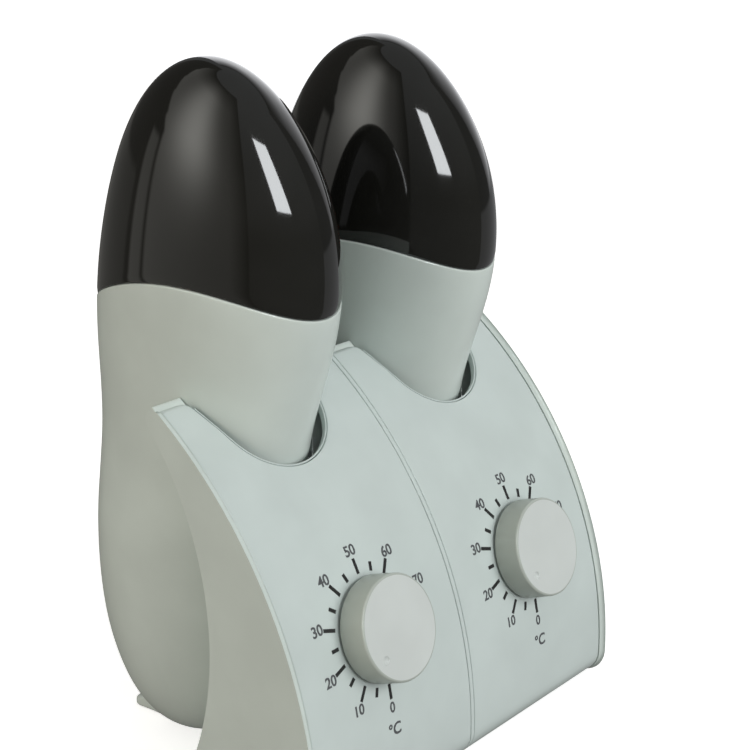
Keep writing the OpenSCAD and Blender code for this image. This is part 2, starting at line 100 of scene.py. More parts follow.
# ---------- the pods' form ----------
POD_TOP = 274 * MM
POD_BASE = 1.5 * MM
POD_WALL = 2 * MM
LOWER_Z, WAIST_Z, UPPER_Z = 89.5 * MM, 123 * MM, 186.5 * MM
HALF_DEPTHS = (45.7 * MM, 47.3 * MM, 54.8 * MM)     # at those three heights
HALF_WIDTHS = (34.2 * MM, 30.3 * MM, 32.6 * MM)
TIP_POWER = 1.94                 # how bluntly a pod closes at its tip
UNDERSIDE_POWER = 2.87
LEAN_LOW_Z, LEAN_HIGH_Z = 72 * MM, 239 * MM
POD_LOW_Y = FRONT_Y + 100.6 * MM     # middle of a pod at LEAN_LOW_Z
POD_HIGH_Y = FRONT_Y + 83.5 * MM     # and at LEAN_HIGH_Z
TIP_BACK = 4.2 * MM              # how far the tip curls back again
SEAM_Z = 188.5 * MM
SEAM_RISE = 7.5 * MM             # higher at the sides, lower in front and behind
SEAM_TILT = 4.6 * MM             # higher in front, lower behind
OPENING_LOW = 104.5 * MM         # lowest point of the openings in the hollow back


# ---------- materials ----------
def material(name):
    """A new node material: returns it, its nodes, its links and its shader."""
    made = bpy.data.materials.new(name)
    made.use_nodes = True
    nodes, links = made.node_tree.nodes, made.node_tree.links
    return made, nodes, links, nodes["Principled BSDF"]


def noise(nodes, links, scale, detail=4.0, rough=0.5):
    """Object-space noise, so its grain keeps its real size on every piece."""
    place = nodes.new("ShaderNodeTexCoord")
    texture = nodes.new("ShaderNodeTexNoise")
    texture.inputs["Scale"].default_value = scale
    texture.inputs["Detail"].default_value = detail
    texture.inputs["Roughness"].default_value = rough
    links.new(place.outputs["Object"], texture.inputs["Vector"])
    return texture.outputs["Fac"]


def ramp(nodes, links, value, low, high, colour_low, colour_high):
    """Maps a value between low and high to two colours."""
    steps = nodes.new("ShaderNodeValToRGB")
    steps.color_ramp.elements[0].position = low
    steps.color_ramp.elements[0].color = (*colour_low, 1)
    steps.color_ramp.elements[1].position = high
    steps.color_ramp.elements[1].color = (*colour_high, 1)
    links.new(value, steps.inputs["Fac"])
    return steps.outputs["Color"]


def spread(nodes, links, value, low, high):
    """Maps a value from 0..1 to low..high."""
    scaled = nodes.new("ShaderNodeMapRange")
    scaled.inputs["To Min"].default_value = low
    scaled.inputs["To Max"].default_value = high
    links.new(value, scaled.inputs["Value"])
    return scaled.outputs["Result"]


def bump(nodes, links, shader, height, strength, distance):
    """Gives a shader's surface a relief that follows height; distance is its depth in metres."""
    bumped = nodes.new("ShaderNodeBump")
    bumped.inputs["Strength"].default_value = strength
    bumped.inputs["Distance"].default_value = distance
    links.new(height, bumped.inputs["Height"])
    links.new(bumped.outputs["Normal"], shader.inputs["Normal"])


def moulded_plastic(name, colour, roughness, variation=0.03, grain=0.25):
    """Moulded plastic: faint flow marks in its colour, a fine grain and uneven gloss."""
    made, nodes, links, shader = material(name)
    cloudy = noise(nodes, links, scale=35, detail=3)
    darker = tuple(c * (1 - variation) for c in colour)
    lighter = tuple(min(1, c * (1 + variation)) for c in colour)
    links.new(ramp(nodes, links, cloudy, 0.35, 0.65, darker, lighter),
              shader.inputs["Base Color"])
    patches = noise(nodes, links, scale=90, detail=6, rough=0.6)
    uneven = 0.05
    links.new(spread(nodes, links, patches, roughness - uneven, roughness + uneven),
              shader.inputs["Roughness"])
    fine = noise(nodes, links, scale=2600, detail=2)
    bump(nodes, links, shader, fine, strength=grain, distance=0.00003)
    shader.inputs["IOR"].default_value = 1.48
    return made


def smoked_plastic():
    """Glossy smoked cap: nearly black, with faint smears and a reddish bloom at its rim."""
    made, nodes, links, shader = material("smoked_cap")
    cloudy = noise(nodes, links, scale=30, detail=4)
    links.new(ramp(nodes, links, cloudy, 0.35, 0.65, (0.0115, 0.0115, 0.0100),
                   (0.0145, 0.0145, 0.0130)), shader.inputs["Base Color"])
    smears = noise(nodes, links, scale=22, detail=5, rough=0.65)
    links.new(spread(nodes, links, smears, 0.03, 0.10), shader.inputs["Roughness"])
    ripple = noise(nodes, links, scale=16, detail=1)
    bump(nodes, links, shader, ripple, strength=0.15, distance=0.0004)
    shader.inputs["IOR"].default_value = 1.5
    shader.inputs["Coat Weight"].default_value = 0.3
    shader.inputs["Coat Roughness"].default_value = 0.02
    shader.inputs["Sheen Weight"].default_value = 0.04
    shader.inputs["Sheen Tint"].default_value = (0.9, 0.15, 0.08, 1)
    shader.inputs["Sheen Roughness"].default_value = 0.2
    return made


def ink(name, darker, lighter):
    """Screen-printed ink: matt, a little uneven."""
    made, nodes, links, shader = material(name)
    uneven = noise(nodes, links, scale=1500, detail=3)
    links.new(ramp(nodes, links, uneven, 0.3, 0.7, darker, lighter), shader.inputs["Base Color"])
    shader.inputs["Roughness"].default_value = 0.5
    return made


def rubber():
    """Black rubber with fine specks."""
    made, nodes, links, shader = material("rubber")
    speck = noise(nodes, links, scale=900, detail=5)
    links.new(ramp(nodes, links, speck, 0.3, 0.7, (0.018, 0.018, 0.018), (0.035, 0.034, 0.033)),
              shader.inputs["Base Color"])
    shader.inputs["Roughness"].default_value = 0.75
    bump(nodes, links, shader, speck, strength=0.3, distance=0.0001)
    return made


def metal(name, colour, roughness):
    """Drawn or sheet metal with a fine brushed grain."""
    made, nodes, links, shader = material(name)
    place = nodes.new("ShaderNodeTexCoord")
    stretch = nodes.new("ShaderNodeMapping")
    stretch.inputs["Scale"].default_value = (1, 1, 60)
    links.new(place.outputs["Object"], stretch.inputs["Vector"])
    brushed = nodes.new("ShaderNodeTexNoise")
    brushed.inputs["Scale"].default_value = 120
    brushed.inputs["Detail"].default_value = 6
    links.new(stretch.outputs["Vector"], brushed.inputs["Vector"])
    darker = tuple(c * 0.85 for c in colour)
    links.new(ramp(nodes, links, brushed.outputs["Fac"], 0.3, 0.7, darker, colour),
              shader.inputs["Base Color"])
    uneven = 0.08
    links.new(spread(nodes, links, brushed.outputs["Fac"], roughness - uneven,
                     roughness + uneven), shader.inputs["Roughness"])
    shader.inputs["Metallic"].default_value = 1
    return made


def studio_paint(name, colour):
    """Matt paint that glows a little, so that the floor runs into the white behind it."""
    made, nodes, links, shader = material(name)
    faint = noise(nodes, links, scale=3, detail=2)
    darker = tuple(c * 0.985 for c in colour)
    links.new(ramp(nodes, links, faint, 0.3, 0.7, darker, colour), shader.inputs["Base Color"])
    shader.inputs["Roughness"].default_value = 0.9
    shader.inputs["Specular IOR Level"].default_value = 0.1
    shader.inputs["Emission Color"].default_value = (1, 1, 1, 1)
    shader.inputs["Emission Strength"].default_value = 0.62
    return made


SHELL = moulded_plastic("shell", (0.56, 0.625, 0.595), 0.24)
PANEL = moulded_plastic("panel", (0.535, 0.605, 0.59), 0.24)
KNOB = moulded_plastic("knob", (0.56, 0.60, 0.585), 0.30)
# the knob's skirt is the knob plastic made darker: painted shade where the panel shades the knob's
# side
KNOB_SIDE_PAINTED_SHADE = moulded_plastic("knob_side_painted_shade", (0.39, 0.43, 0.395), 0.34)
CAP = smoked_plastic()
INK = ink("dial_print", (0.012, 0.012, 0.012), (0.03, 0.03, 0.03))
# the numerals are printed thinner and look greyer than the ticks
NUMERAL_INK = ink("numeral_print", (0.07, 0.075, 0.08), (0.10, 0.105, 0.11))
SLOT_MATERIALS = {
    "shell": SHELL,
    "panel": PANEL,
    "knob": KNOB,
    "smoked_cap": CAP,
    "dial_print": INK,
    "black_plastic": moulded_plastic("black_plastic", (0.03, 0.03, 0.03), 0.45),
    "phenolic": moulded_plastic("phenolic", (0.60, 0.56, 0.44), 0.5, 0.08),
    "ceramic": moulded_plastic("ceramic", (0.78, 0.75, 0.68), 0.6, 0.06, 0.5),
    "resistance_wire": metal("resistance_wire", (0.35, 0.29, 0.24), 0.45),
    "aluminium": metal("aluminium", (0.80, 0.81, 0.82), 0.35),
    "steel": metal("steel", (0.60, 0.61, 0.63), 0.32),
    "copper": metal("copper", (0.76, 0.42, 0.27), 0.3),
    "lead": moulded_plastic("lead", (0.25, 0.10, 0.05), 0.45),
    "rubber": rubber(),
}


# ---------- mesh helpers ----------
CREASE = math.radians(40)        # edges that bend more than this are drawn sharp


def add_mesh(name, points, faces, surface):
    """Makes a mesh object with smooth faces and creases where it bends sharply."""
    mesh = bpy.data.meshes.new(name)
    mesh.from_pydata([tuple(p) for p in points], [], faces)
    mesh.validate()
    work = bmesh.new()
    work.from_mesh(mesh)
    bmesh.ops.remove_doubles(work, verts=work.verts, dist=1e-7)
    bmesh.ops.recalc_face_normals(work, faces=work.faces)
    work.to_mesh(mesh)
    work.free()
    mesh.polygons.foreach_set("use_smooth", [True] * len(mesh.polygons))
    mesh.set_sharp_from_angle(angle=CREASE)
    mesh.materials.append(surface)
    piece = bpy.data.objects.new(name, mesh)
    bpy.context.scene.collection.objects.link(piece)
    return piece


def place(piece, body, slot, *nodes):
    """Rides a piece on its body and hides the nodes that it stands for; slot is not used."""
    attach(piece, body)
    if nodes:
        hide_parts(*nodes)
    return piece


def rounded(corners):
    """An outline from corners (a, b, radius), with each corner turned into an arc."""
    step = 0.8 * MM
    outline = []
    count = len(corners)
    for i in range(count):
        before, here, after = (Vector(corners[(i + k) % count][:2]) for k in (-1, 0, 1))
        radius = corners[i][2]
        if radius <= 0:
            outline.append(tuple(here))
            continue
        back, on = (before - here).normalized(), (after - here).normalized()
        half = back.angle(on) / 2
        reach = radius / math.tan(half)
        start, end = here + back * reach, here + on * reach
        centre = here + (back + on).normalized() * (radius / math.sin(half))
        a0 = math.atan2(start.y - centre.y, start.x - centre.x)
        a1 = math.atan2(end.y - centre.y, end.x - centre.x)
        turn = (a1 - a0 + math.pi) % (2 * math.pi) - math.pi
        pieces = max(4, int(abs(turn) * radius / step))
        for k in range(pieces + 1):
            a = a0 + turn * k / pieces
            outline.append((centre.x + radius * math.cos(a), centre.y + radius * math.sin(a)))
    return outline


def split_long(outline, longest):
    """Adds points so that no side of the outline is longer than longest."""
    fine = []
    for (a, b), (c, d) in zip(outline, outline[1:] + outline[:1]):
        parts = max(1, math.ceil(math.hypot(c - a, d - b) / longest))
        fine += [(a + (c - a) * k / parts, b + (d - b) * k / parts) for k in range(parts)]
    return fine


def inward(outline):
    """Unit vectors that point into a counter-clockwise outline, mitred at its points."""
    points = np.array(outline)
    along = np.roll(points, -1, 0) - points
    along /= np.linalg.norm(along, axis=1)[:, None]
    side = np.stack([-along[:, 1], along[:, 0]], 1)
    mitre = side + np.roll(side, 1, 0)
    mitre /= np.linalg.norm(mitre, axis=1)[:, None]
    return mitre / np.maximum(0.5, (mitre * side).sum(1))[:, None]


def inside_points(outline, spacing, margin):
    """Grid points inside an outline, no nearer to it than margin."""
    points = np.array(outline)
    low, high = points.min(0), points.max(0)
    grid = np.stack(np.meshgrid(np.arange(low[0], high[0], spacing),
                                np.arange(low[1], high[1], spacing)), -1).reshape(-1, 2)
    ahead = np.roll(points, -1, 0)
    crossings = np.zeros(len(grid), int)
    nearest = np.full(len(grid), np.inf)
    for (x0, y0), (x1, y1) in zip(points, ahead):
        if y0 != y1:
            spans = (grid[:, 1] >= min(y0, y1)) & (grid[:, 1] < max(y0, y1))
            crossings += spans & (grid[:, 0] < x0 + (grid[:, 1] - y0) * (x1 - x0) / (y1 - y0))
        leg = np.array([x1 - x0, y1 - y0])
        t = np.clip(((grid - (x0, y0)) @ leg) / (leg @ leg), 0, 1)
        nearest = np.minimum(nearest, np.linalg.norm(grid - (x0, y0) - t[:, None] * leg, axis=1))
    return grid[(crossings % 2 == 1) & (nearest > margin)]


def fill(ring, inner):
    """Triangles over an outline and the points inside it, as indices into ring then inner."""
    flat = [Vector(p) for p in ring] + [Vector(p) for p in inner]
    loop = [(i, (i + 1) % len(ring)) for i in range(len(ring))]
    found = delaunay_2d_cdt(flat, loop, [], 1, 1e-9)
    original = [ids[0] if ids else -1 for ids in found[3]]
    return [[original[v] for v in face] for face in found[2]]


def slab(name, outline, thickness, edge, surface, at, spacing=3 * MM):
    """A sheet with rounded front edges, mapped into place by at(a, b, depth).

    edge is one radius or a function of (a, b). An outline that runs counter-clockwise has its
    front edge rounded off inside it; one that runs clockwise has it flared outwards."""
    outline = split_long(outline, spacing)
    normals = inward(outline)
    radii = np.array([edge(a, b) if callable(edge) else edge for a, b in outline])
    rings = []
    steps = 5
    for k in range(steps + 1):
        turn = math.pi / 2 * k / steps
        inset = (radii * (1 - math.sin(turn)))[:, None]
        rings.append((np.array(outline) + normals * inset, radii * (1 - math.cos(turn))))
    back_edge = 0.25 * MM
    rings.append((np.array(outline), np.full(len(outline), thickness - back_edge)))
    rings.append((np.array(outline) + normals * back_edge, np.full(len(outline), thickness)))
    inner = inside_points(rings[0][0], spacing, margin=spacing * 0.45)
    count = len(outline)
    points = [at(a, b, d) for ring, depths in rings for (a, b), d in zip(ring, depths)]
    front_start = len(points)
    points += [at(a, b, 0) for a, b in inner]
    back_start = len(points)
    points += [at(a, b, thickness) for a, b in inner]
    faces = []
    for r in range(len(rings) - 1):
        for i in range(count):
            j = (i + 1) % count
            faces.append([r * count + i, r * count + j, (r + 1) * count + j, (r + 1) * count + i])
    last = (len(rings) - 1) * count
    for face in fill(rings[0][0], inner):
        faces.append([v if v < count else front_start + v - count for v in face])
    for face in fill(rings[-1][0], inner):
        faces.append([last + v if v < count else back_start + v - count for v in reversed(face)])
    return add_mesh(name, points, faces, surface)


def join(pieces, name):
    """Joins pieces into the first one."""
    bpy.ops.object.select_all(action="DESELECT")
    for piece in pieces:
        piece.select_set(True)
    bpy.context.view_layer.objects.active = pieces[0]
    bpy.ops.object.join()
    pieces[0].name = name
    pieces[0].data.name = name
    return pieces[0]


def lathe(name, profile, surface, frame_matrix, around=96):
    """Turns a profile of (radius, height) round the +Z axis of frame_matrix."""
    points, faces, rings = [], [], []
    for radius, height in profile:
        if radius <= 0:
            rings.append([len(points)])
            points.append(frame_matrix @ Vector((0, 0, height)))
            continue
        rings.append(list(range(len(points), len(points) + around)))
        for k in range(around):
            a = 2 * math.pi * k / around
            on_ring = Vector((radius * math.cos(a), radius * math.sin(a), height))
            points.append(frame_matrix @ on_ring)
    for low, high in zip(rings, rings[1:]):
        for k in range(around):
            j = (k + 1) % around
            if len(low) == 1:
                faces.append([low[0], high[k], high[j]])
            elif len(high) == 1:
                faces.append([low[k], low[j], high[0]])
            else:
                faces.append([low[k], low[j], high[j], high[k]])
    return add_mesh(name, points, faces, surface)


# ---------- the front's surface ----------
# Lengths s run up the front from the line where it stands upright.
TOE_Z = FOOT_Z + TOE_R
UPRIGHT = FRONT_Z - TOE_Z        # flat stretch between the toe and the curve
TOE_ARC = TOE_R * math.pi / 2
TOP_S = FRONT_R * math.asin((TOP_Z - FRONT_Z) / FRONT_R)
LIP_S = -(UPRIGHT + TOE_ARC + LIP - TOE_R)
NOTCH_S = FRONT_R * NOTCH_LEAN
TOP_DROP = 0.9 * MM              # how much lower a panel's top edge ends at its back
TOP_FADE = 6 * MM                # sheets are levelled over this much below the top


def front_at(s):
    """Place (y, z) and outward normal on the front, at a length s up from where it is upright."""
    if s >= 0:
        lean = s / FRONT_R
        return (FRONT_Y + FRONT_R * (1 - math.cos(lean)), FRONT_Z + FRONT_R * math.sin(lean),
                -math.cos(lean), math.sin(lean))
    if s >= -UPRIGHT:
        return FRONT_Y, FRONT_Z + s, -1, 0
    if s >= -UPRIGHT - TOE_ARC:
        turn = (-UPRIGHT - s) / TOE_R
        return (FRONT_Y + TOE_R * (1 - math.cos(turn)), TOE_Z - TOE_R * math.sin(turn),
                -math.cos(turn), -math.sin(turn))
    return FRONT_Y + TOE_R + (-UPRIGHT - TOE_ARC - s), FOOT_Z, 0, -1


def on_front(x, s, depth):
    """A point depth behind the front; at the top, sheets end level and round off backwards."""
    top_z = TOP_Z - TOP_DROP * (depth / WALL) ** 2
    end_s = FRONT_R * math.asin(min(1, (top_z - FRONT_Z) / (FRONT_R - depth)))
    near_top = max(0, 1 - (TOP_S - s) / TOP_FADE)
    y, z, ny, nz = front_at(s + (end_s - TOP_S) * near_top)
    return x, y - ny * depth, z - nz * depth


def front_matrix(x, lean):
    """Frame on the front: +Z out of the panel, +Y up the curve."""
    y, z = front_at(FRONT_R * lean)[:2]
    return Matrix.Translation((x, y, z)) @ Matrix.Rotation(math.pi / 2 - lean, 4, "X")


def rear_y(z):
    """The hollow back's place at a height."""
    return REAR_Y - math.sqrt(REAR_R ** 2 - (z - REAR_Z) ** 2)


def on_rear(x, z, depth):
    """The hollow back's outer face, with depth towards the front."""
    y = rear_y(z)
    ny, nz = (REAR_Y - y) / REAR_R, (REAR_Z - z) / REAR_R
    return x, y - ny * depth, z - nz * depth


# ---------- pieces of the housing ----------
def front_panel(side_name):
    """One inlaid front panel, with the notch for its pod and the wall that lines the notch."""
    side = SIDES[side_name]
    inner_x = RIB + GROOVE
    outer_x = HALF_W - RIM - GROOVE
    mouth = (NOTCH_R * math.cos(NOTCH_FLARE)
             + (TOP_S - NOTCH_S + NOTCH_R * math.sin(NOTCH_FLARE)) * math.tan(NOTCH_FLARE))
    vertex_s = NOTCH_S - NOTCH_R / math.sin(NOTCH_FLARE)
    low_r, outer_r, inner_r = 0.3 * MM, 1.2 * MM, 0.8 * MM
    corners = [(inner_x, LIP_S, low_r), (outer_x, LIP_S, low_r), (outer_x, TOP_S, outer_r),
               (POD_X + mouth, TOP_S, TAB_R), (POD_X, vertex_s, NOTCH_R),
               (POD_X - mouth, TOP_S, TAB_R), (inner_x, TOP_S, inner_r)]
    outline = rounded(corners)
    if side < 0:
        outline = [(-x, s) for x, s in reversed(outline)]

    crisp, soft = 0.45 * MM, 0.7 * MM

    def edge(x, s):
        """Crisp beside the rims, round the notch and below, soft along the top."""
        framed = min(abs(abs(x) - inner_x), abs(abs(x) - outer_x)) < 0.1 * MM
        in_notch = abs(abs(x) - POD_X) < mouth - TAB_R and s < TOP_S - 2 * MM
        return crisp if framed or s < 0 or in_notch else soft

    sheet = slab(f"front_panel_{side_name}_sheet", outline, WALL, edge, PANEL, on_front)
    lining = notch_lining(side)
    return place(join([sheet, lining], f"front_panel_{side_name}_moulding"), "base", "panel",
                 f"front_panel_{side_name}")


def notch_lining(side):
    """The wall that runs inwards round a notch, from just behind the panel's rounded edge."""
    turns = 40
    flare = NOTCH_FLARE
    path = []
    for k in range(turns + 1):
        a = math.pi + flare + (math.pi - 2 * flare) * k / turns
        path.append((NOTCH_R * math.cos(a), NOTCH_R * math.sin(a), math.cos(a), math.sin(a)))
    rise = 17.5 * MM
    top_left = (path[0][0] - rise * math.sin(flare), path[0][1] + rise * math.cos(flare),
                path[0][2], path[0][3])
    top_right = (path[-1][0] + rise * math.sin(flare), path[-1][1] + rise * math.cos(flare),
                 path[-1][2], path[-1][3])
    path = [top_left] + path + [top_right]
    wall = 1.8 * MM
    behind = WALL + 0.1 * MM
    bead_r = 0.4 * MM
    bead = [(-LIP_W + bead_r * (1 - math.sin(a)), 0.05 * MM + bead_r * (1 - math.cos(a)))
            for a in np.linspace(0, math.pi / 2, 6)]
    section = [(-GROOVE, WALL - 0.5 * MM), (-GROOVE, 0.3 * MM),
               (-GROOVE - 0.12 * MM, 0.1 * MM), *bead,
               (-LIP_W, WALL - 0.4 * MM), (-LIP_W + 0.4 * MM, WALL), (0, behind),
               (0, NOTCH_DEPTH - 0.3 * MM), (0.3 * MM, NOTCH_DEPTH), (wall, NOTCH_DEPTH),
               (wall, behind), (0.05 * MM, behind)]
    points, faces = [], []
    for x, b, nx, nb in path:
        for out, depth in section:
            points.append(on_front(side * POD_X + x + nx * out, NOTCH_S + b + nb * out, depth))
    ring = len(section)
    for i in range(len(path) - 1):
        for k in range(ring):
            j = (k + 1) % ring
            faces.append([i * ring + k, i * ring + j, (i + 1) * ring + j, (i + 1) * ring + k])
    faces.append(list(range(ring)))
    faces.append(list(reversed(range(len(points) - ring, len(points)))))
    return add_mesh("notch_lining", points, faces, PANEL)


def side_outline():
    """The crescent side in (y, z). It runs clockwise, so slab flares the wall's outer edge."""
    front = [front_at(s)[:2] for s in np.linspace(LIP_S, TOP_S - 2.5 * MM, 90)]
    front_arc = [(y, z) for y, z in front if z > FOOT_Z + 1e-6]
    tip_y, tip_z = front_at(TOP_S)[:2]
    rear = [(rear_y(z), z) for z in np.linspace(TOP_Z - 4 * MM, FOOT_Z + 3 * MM, 70)]
    toe = (FRONT_Y + TOE_R, FOOT_Z, 0)
    foot_r, front_tip_r = 1.2 * MM, 1.4 * MM
    corners = [(rear_y(FOOT_Z), FOOT_Z, foot_r), *[(y, z, 0) for y, z in reversed(rear)],
               (rear_y(TOP_Z), TOP_Z, TIP_R), (tip_y, tip_z, front_tip_r),
               *[(y, z, 0) for y, z in reversed(front_arc)], toe]
    return list(reversed(rounded(corners)))


def side_wall(side):
    """The crescent wall at one side, seen as a rim beside its panel."""
    def at(y, z, depth):
        return side * (HALF_W - depth), y, z

    edge = 1.3 * MM
    return slab("side_wall", side_outline(), RIM, edge, SHELL, at, spacing=4 * MM)


def centre_rib():
    """The narrow rib that stands between the two panels."""
    low_r, top_r, edge = 0.2 * MM, 0.4 * MM, 0.35 * MM
    outline = rounded([(-RIB, LIP_S, low_r), (RIB, LIP_S, low_r), (RIB, TOP_S, top_r),
                       (-RIB, TOP_S, top_r)])
    return slab("centre_rib", outline, WALL + 1.5 * MM, edge, PANEL, on_front, spacing=2 * MM)


def hollow_back():
    """The concave rear wall, with an opening that follows each pod a hair's breadth off."""
    inner_x = HALF_W - RIM
    top = TOP_Z - 0.4 * MM
    bottom = FOOT_Z + 0.4 * MM
    clearance = 0.4 * MM
    steps = 30                   # up each side of an opening

    def half_at(z):
        """Half width of an opening, outside the pod at every depth of the wall."""
        reach = 0
        for depth in np.linspace(0, WALL, 4):
            y, level = on_rear(0, z, depth)[1:]
            end = closing(level, 0)
            share = (y - pod_y(level)) / (bulge(level, HALF_DEPTHS) * end)
            if abs(share) < 1:
                reach = max(reach, bulge(level, HALF_WIDTHS) * end * math.sqrt(1 - share * share))
        return reach + clearance

    heights = [OPENING_LOW + (top - OPENING_LOW) * (k / steps) ** 2 for k in range(steps + 1)]
    half = [(0, OPENING_LOW)] + [(half_at(z), z) for z in heights[1:]]
    outline = [(-inner_x, bottom), (inner_x, bottom), (inner_x, top)]
    for middle in (POD_X, -POD_X):
        outline += [(middle + w, z) for w, z in reversed(half)]
        outline += [(middle - w, z) for w, z in half[1:]]
    outline.append((-inner_x, top))
    edge = 0.3 * MM
    return slab("hollow_back", outline, WALL, edge, SHELL, on_rear, spacing=2.5 * MM)


def top_bars():
    """Closes the top between the panels and the hollow back, beside and between the notches."""
    low = TOP_Z - 7 * MM
    half_gap = 31 * MM           # half the room left for a notch, at the bars' foot
    near, far = POD_X - half_gap, POD_X + half_gap
    lean_in = 3.6 * MM
    edge = HALF_W - RIM

    def inner_y(z):
        """The panels' inner face."""
        return FRONT_Y + FRONT_R - math.sqrt((FRONT_R - WALL) ** 2 - (z - FRONT_Z) ** 2)

    tip_y = front_at(TOP_S)[0]
    block = rounded([(tip_y, TOP_Z, 0), (tip_y, low, 0), (rear_y(low), low, 0),
                     (rear_y(TOP_Z), TOP_Z, TIP_R)])
    outline = [(y, z) for y, z in block if y > inner_y(z)]
    outline += [(inner_y(z), z) for z in np.linspace(outline[-1][1], low, 6)]

    def drawn_in(z):
        """How far an end beside a notch stands back: it leans, and its corner is rounded."""
        into_corner = max(0, z - (TOP_Z - TAB_R))
        rounding = TAB_R - math.sqrt(max(0, TAB_R ** 2 - into_corner ** 2))
        return lean_in * (z - low) / (TOP_Z - low) + rounding

    def bar(start, end):
        def at(y, z, share):
            left = start + (0 if start == -edge else drawn_in(z))
            right = end - (0 if end == edge else drawn_in(z))
            return left + (right - left) * share, y, z
        return extruded("top_bar", outline, PANEL, at)

    return [bar(-edge, -far), bar(-near, near), bar(far, edge)]


def extruded(name, outline, surface, at):
    """A plain bar of one section; at(a, b, share) places it from its start to its end."""
    count = len(outline)
    shares = (0, 0.02, 0.5, 0.98, 1)
    points = [at(a, b, share) for share in shares for a, b in outline]
    faces = [[r * count + i, r * count + (i + 1) % count, (r + 1) * count + (i + 1) % count,
              (r + 1) * count + i] for r in range(len(shares) - 1) for i in range(count)]
    faces += [list(reversed(range(count))), list(range(len(points) - count, len(points)))]
    return add_mesh(name, points, faces, surface)


def gland_boss():
    """The boss with a flat seat that the cord gland screws into."""
    low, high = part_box("cord_gland")
    start, seat_y = FRONT_Y + 50 * MM, FRONT_Y + 64 * MM
    bore_r, outer_r = 7.1 * MM, 11 * MM
    centre_z = (low.z + high.z) / 2
    turned = Matrix.Translation((0, 0, centre_z)) @ Matrix.Rotation(-math.pi / 2, 4, "X")
    profile = [(bore_r, start), (outer_r, start), (outer_r, seat_y - 0.8 * MM),
               (10.75 * MM, seat_y - 0.2 * MM), (10.2 * MM, seat_y), (bore_r, seat_y),
               (bore_r, start)]
    return lathe("gland_boss", profile, SHELL, turned, around=64)


def housing():
    """The housing's shell in one piece, and the rib."""
    pieces = [side_wall(1), side_wall(-1), hollow_back(), *top_bars(), gland_boss()]
    place(join(pieces, "housing_moulding"), "base", "shell", "housing_shell")
    place(centre_rib(), "base", "panel")


# ---------- pods ----------
def ease(z, z1, v1, z2, v2):
    """Runs smoothly from v1 at height z1 to v2 at z2, and stays level beyond them."""
    t = min(1, max(0, (z - z1) / (z2 - z1)))
    return v1 + (v2 - v1) * (1 - math.cos(math.pi * t)) / 2


def bulge(z, values):
    """Half a pod's width or depth at a height, from its values at the three heights."""
    low, waist, high = values
    if z < WAIST_Z:
        return ease(z, LOWER_Z, low, WAIST_Z, waist)
    return ease(z, WAIST_Z, waist, UPPER_Z, high)


def closing(z, inset):
    """How far a section has closed towards the pod's tip or underside."""
    if z > UPPER_Z:
        along = (z - UPPER_Z) / (POD_TOP - inset - UPPER_Z)
        return math.sqrt(max(0, 1 - along ** TIP_POWER))
    if z < LOWER_Z:
        along = (LOWER_Z - z) / (LOWER_Z - POD_BASE - inset)
        return math.sqrt(max(0, 1 - along ** UNDERSIDE_POWER))
    return 1


def pod_y(z):
    """Where the middle of a pod's section lies at a height."""
    heel_back, heel_top = 5 * MM, 40 * MM
    heel = heel_back * max(0, 1 - z / heel_top) ** 2
    tip_start = 170 * MM
    tip = TIP_BACK * max(0, (z - tip_start) / (POD_TOP - tip_start)) ** 2
    return ease(z, LEAN_LOW_Z, POD_LOW_Y, LEAN_HIGH_Z, POD_HIGH_Y) + heel + tip


def pod_point(z, turn, inset):
    """A point inset from a pod's outer face; turn is 0 in front."""
    shrink = closing(z, inset)
    across = (bulge(z, HALF_WIDTHS) - inset) * shrink
    along = (bulge(z, HALF_DEPTHS) - inset) * shrink
    return Vector((across * math.sin(turn), pod_y(z) - along * math.cos(turn), z))


def seam(turn):
    """Height of the seam between shell and cap."""
    return SEAM_Z - SEAM_RISE * math.cos(2 * turn) + SEAM_TILT * math.cos(turn)


def pod_end(name, side, pole, edge_rows, surface):
    """One end of a pod: outer face from its pole to the seam, the seam's edge, and the inner face.

    edge_rows are (height over the seam, inset) pairs round the rim."""
    around, rows = 144, 72
    inner_pole = pole + math.copysign(POD_WALL, SEAM_Z - pole)
    turns = [2 * math.pi * k / around for k in range(around)]
    rings = []
    for z_pole, inset, rim, order in ((pole, 0, edge_rows[0], 1),
                                      (inner_pole, POD_WALL, edge_rows[-1], -1)):
        some = []
        for i in range(1, rows):
            part = 1 - math.cos(math.pi / 2 * i / rows)
            some.append([pod_point(z_pole + (seam(t) + rim[0] - z_pole) * part, t, inset)
                         for t in turns])
        rings.append(some[::order])
    edge = []
    for height, inset in edge_rows:
        edge.append([pod_point(seam(t) + height, t, inset) for t in turns])
    every = rings[0] + edge + rings[1]
    middle = Vector((0, pod_y(pole), pole))
    inner_middle = Vector((0, pod_y(inner_pole), inner_pole))
    points = [middle] + [p for ring in every for p in ring] + [inner_middle]
    shift = Vector((side * POD_X, 0, 0))
    faces = []
    for k in range(around):
        j = (k + 1) % around
        faces.append([0, 1 + j, 1 + k])
        for r in range(len(every) - 1):
            a, b = 1 + r * around, 1 + (r + 1) * around
            faces.append([a + k, a + j, b + j, b + k])
        a = 1 + (len(every) - 1) * around
        faces.append([a + k, a + j, len(points) - 1])
    return add_mesh(name, [p + shift for p in points], faces, surface)


def pod_shell(side_name):
    """The pale lower part of a pod, with a rounded rim."""
    edge = [(-0.9 * MM, 0), (-0.4 * MM, 0.06 * MM), (-0.1 * MM, 0.3 * MM), (0, 0.7 * MM),
            (0, 1.7 * MM), (-0.3 * MM, 2 * MM)]
    made = pod_end(f"pod_shell_{side_name}_moulding", SIDES[side_name], POD_BASE, edge, SHELL)
    return place(made, "base", "shell", f"pod_shell_{side_name}")


